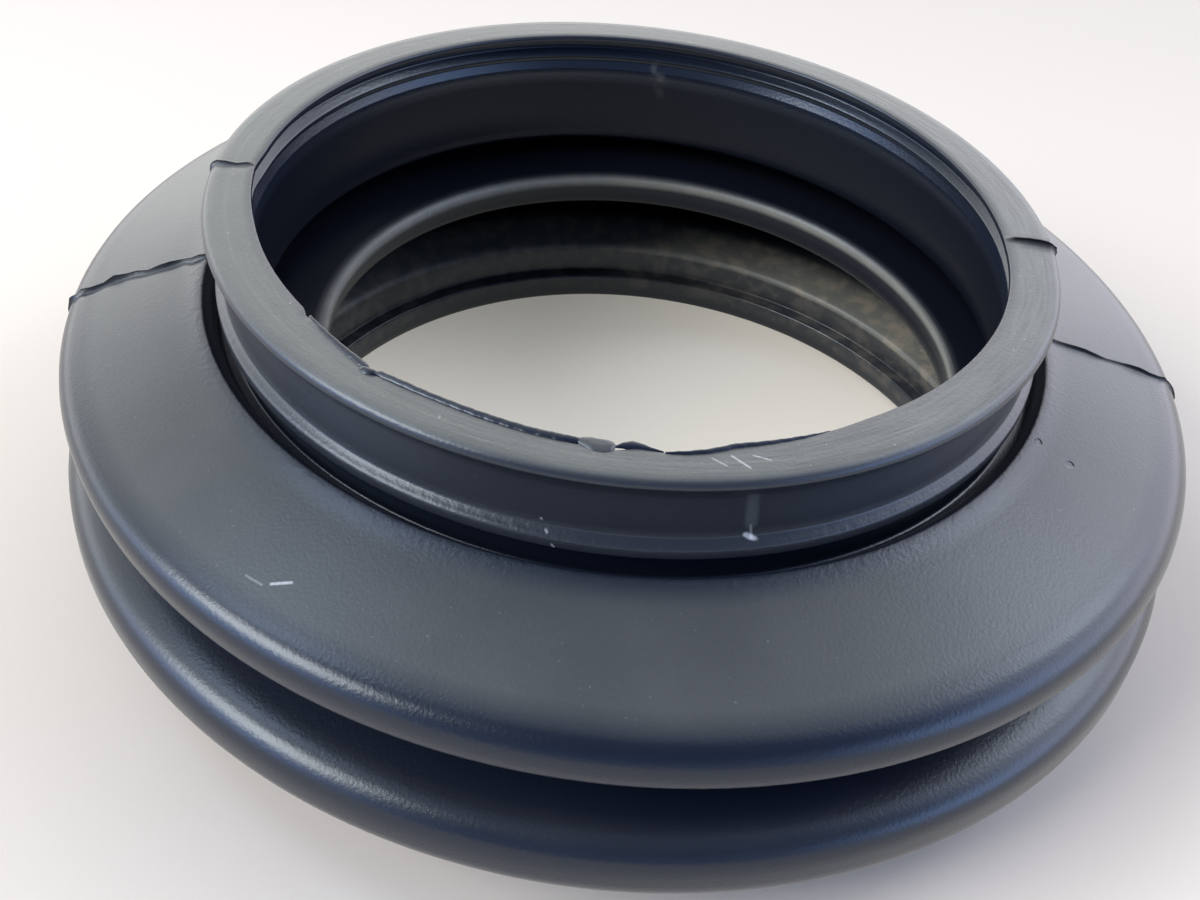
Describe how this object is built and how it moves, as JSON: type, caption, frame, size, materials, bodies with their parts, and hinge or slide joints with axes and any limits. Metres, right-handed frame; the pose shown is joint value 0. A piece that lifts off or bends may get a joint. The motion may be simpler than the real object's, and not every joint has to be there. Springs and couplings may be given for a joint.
{
  "type": "swingarm rubber bellows",
  "caption": "Round black rubber bellows with a clamp neck at each end, two outer folds between them and an open bore right through.",
  "frame": {"origin": "on the axis of the bellows, at the flat end of its lower neck", "axes": "+Z along the axis, from the lower neck to the upper neck"},
  "size_m": [0.1264, 0.1264, 0.042],
  "materials": {
    "black_rubber": "moulded black rubber with a satin sheen"
  },
  "bodies": {
    "root": {"rubber_bellows": "black_rubber"}
  },
  "joints": []
}
